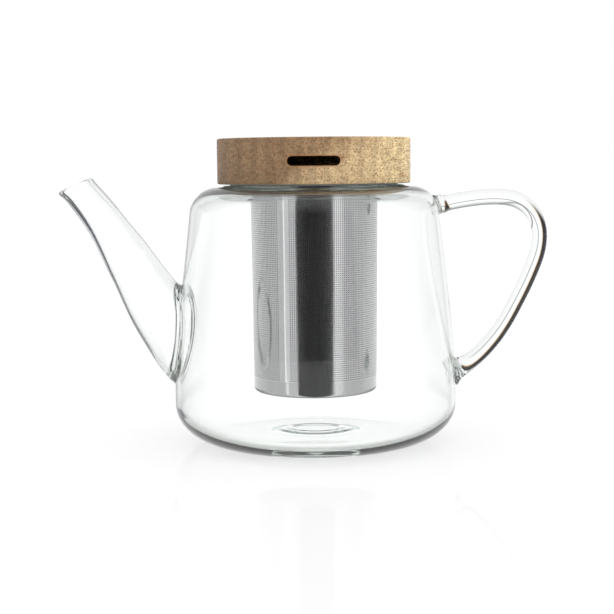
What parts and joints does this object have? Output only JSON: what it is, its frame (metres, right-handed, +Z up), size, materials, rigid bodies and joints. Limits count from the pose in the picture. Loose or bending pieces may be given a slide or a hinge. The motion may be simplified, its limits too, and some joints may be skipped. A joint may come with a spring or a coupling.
{
  "type": "glass teapot",
  "caption": "Straight-sided clear glass teapot with an oblique spout, a looped rod handle, a lift-out perforated steel infuser and a thick turned wooden lid.",
  "frame": {"origin": "centre of the base, on the plane it rests on", "axes": "+X towards the handle, -X towards the spout, -Y towards the vent slot in the lid, +Z up"},
  "size_m": [0.2339, 0.136, 0.1457],
  "materials": {
    "clear_glass": "clear polished borosilicate",
    "spout_glass": "clear polished borosilicate",
    "handle_glass": "clear polished solid rod",
    "etched_steel": "satin, finely perforated",
    "bright_steel": "satin",
    "base_steel": "satin",
    "oiled_wood": "oiled, open grain",
    "clear_silicone": "translucent matt"
  },
  "bodies": {
    "pot": {"glass_body": "clear_glass", "spout": "spout_glass", "handle": "handle_glass"},
    "infuser": {"infuser_tube": "etched_steel", "infuser_collar": "bright_steel", "infuser_base": "base_steel"},
    "lid": {"lid_body": "oiled_wood", "lid_seal": "clear_silicone"}
  },
  "joints": [
    {"name": "infuser_lift", "type": "slide", "parent": "pot", "child": "infuser", "axis": [0, 0, 1], "range_m": [0, 0.12]},
    {"name": "lid_lift", "type": "slide", "parent": "infuser", "child": "lid", "axis": [0, 0, 1], "range_m": [0, 0.06]}
  ]
}
